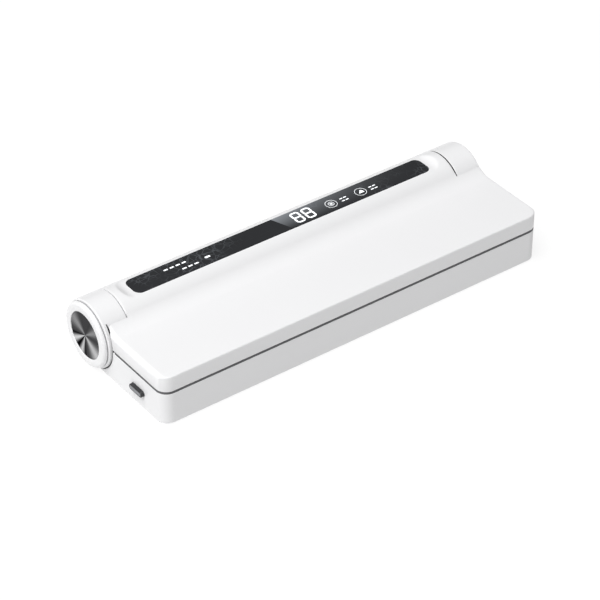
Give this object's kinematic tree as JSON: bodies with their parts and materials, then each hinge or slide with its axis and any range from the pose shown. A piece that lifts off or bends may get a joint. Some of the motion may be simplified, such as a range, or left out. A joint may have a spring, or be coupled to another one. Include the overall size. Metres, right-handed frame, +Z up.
{
  "type": "vacuum sealer",
  "caption": "Slim white kitchen vacuum sealer: flat lid over a base with a rear barrel hinge, black glass display, spun metal end disc and side release buttons.",
  "frame": {"origin": "on the table under the middle of the whole object, at the bottom of its bounding box", "axes": "+X along the length towards the mains inlet end, +Y from the front edge towards the rear barrel, +Z up"},
  "size_m": [0.3796, 0.1274, 0.06],
  "materials": {
    "shell_white": "satin white moulded plastic with a very fine texture",
    "inner_plastic": "plain moulded light grey plastic",
    "gasket_foam": "soft closed-cell foam rubber",
    "press_silicone": "matt silicone rubber",
    "heater_base": "heat-resistant laminate",
    "heating_ribbon": "bare resistance ribbon",
    "ptfe_cloth": "PTFE-coated glass cloth",
    "contact_brass": "plain brass",
    "plain_steel": "zinc-plated steel",
    "motor_can": "drawn steel can",
    "spun_metal": "turned face with fine concentric lines",
    "heat_sink": "extruded aluminium",
    "circuit_board": "green solder mask",
    "component_black": "black moulded plastic",
    "transformer_tape": "yellow wrapping tape",
    "button_black": "black moulded plastic, fine texture",
    "plunger_grey": "grey acetal",
    "display_black": "black back-printed glass, polished",
    "hose_silicone": "translucent silicone hose",
    "foot_rubber": "matt black rubber",
    "wire_red": "red insulation",
    "wire_brown": "brown insulation"
  },
  "bodies": {
    "base": {"base_shell": "shell_white", "base_deck": "inner_plastic", "lower_gasket": "gasket_foam", "rim_seal": "gasket_foam", "collar_seal": "foot_rubber", "barrel_seal": "foot_rubber", "heater_carrier": "heater_base", "heating_strip": "heating_ribbon", "ptfe_tape": "ptfe_cloth", "heater_terminals": "contact_brass", "thermal_cutout": "plain_steel", "power_board": "circuit_board", "power_transformer": "transformer_tape", "board_capacitors": "component_black", "board_heatsink": "heat_sink", "rubber_feet": "foot_rubber", "base_screws": "plain_steel", "hinge_pin_left": "plain_steel", "hinge_pin_right": "plain_steel", "left_end_cap": "shell_white", "left_end_disc": "spun_metal", "right_end_cap": "shell_white", "mains_inlet": "component_black", "inlet_pins": "contact_brass", "lid_switch": "component_black", "heater_leads": "wire_red", "mains_leads": "wire_brown", "latch_spring_left": "plain_steel", "latch_spring_right": "plain_steel"},
    "latch_left": {"release_button_left": "button_black", "latch_slider_left": "inner_plastic"},
    "latch_right": {"release_button_right": "button_black", "latch_slider_right": "inner_plastic"},
    "plunger": {"switch_plunger": "plunger_grey"},
    "lid": {"lid_shell": "shell_white", "lid_liner": "inner_plastic", "barrel_underside": "shell_white", "barrel_bush_left": "inner_plastic", "barrel_bush_right": "inner_plastic", "upper_gasket": "gasket_foam", "press_strip": "press_silicone", "press_carrier": "inner_plastic", "lid_hook_left": "inner_plastic", "lid_hook_right": "inner_plastic", "display_glass": "display_black", "display_board": "circuit_board", "digit_module": "component_black", "touch_springs": "contact_brass", "control_board": "circuit_board", "control_parts": "component_black", "pump_motor": "motor_can", "pump_head": "component_black", "pump_saddle": "component_black", "vacuum_nozzle": "inner_plastic", "vacuum_hose": "hose_silicone", "lid_screws": "plain_steel", "barrel_screws": "plain_steel"},
    "shaft": {"pump_shaft": "plain_steel"}
  },
  "joints": [
    {"name": "lid_hinge", "type": "hinge", "parent": "base", "child": "lid", "pos_m": [0, 0.03475, 0.031], "axis": [-1, 0, 0], "range_deg": [0, 80]},
    {"name": "release_left", "type": "slide", "parent": "base", "child": "latch_left", "axis": [1, 0, 0], "range_m": [0, 0.002], "stiffness_N_per_m": 400, "deforming": ["latch_spring_left"]},
    {"name": "release_right", "type": "slide", "parent": "base", "child": "latch_right", "axis": [-1, 0, 0], "range_m": [0, 0.002], "stiffness_N_per_m": 400, "deforming": ["latch_spring_right"]},
    {"name": "switch_press", "type": "slide", "parent": "base", "child": "plunger", "axis": [0, 0, -1], "range_m": [0, 0.001], "stiffness_N_per_m": 200},
    {"name": "motor_spin", "type": "hinge", "parent": "lid", "child": "shaft", "pos_m": [0, 0.03475, 0.031], "axis": [1, 0, 0], "continuous": true}
  ]
}
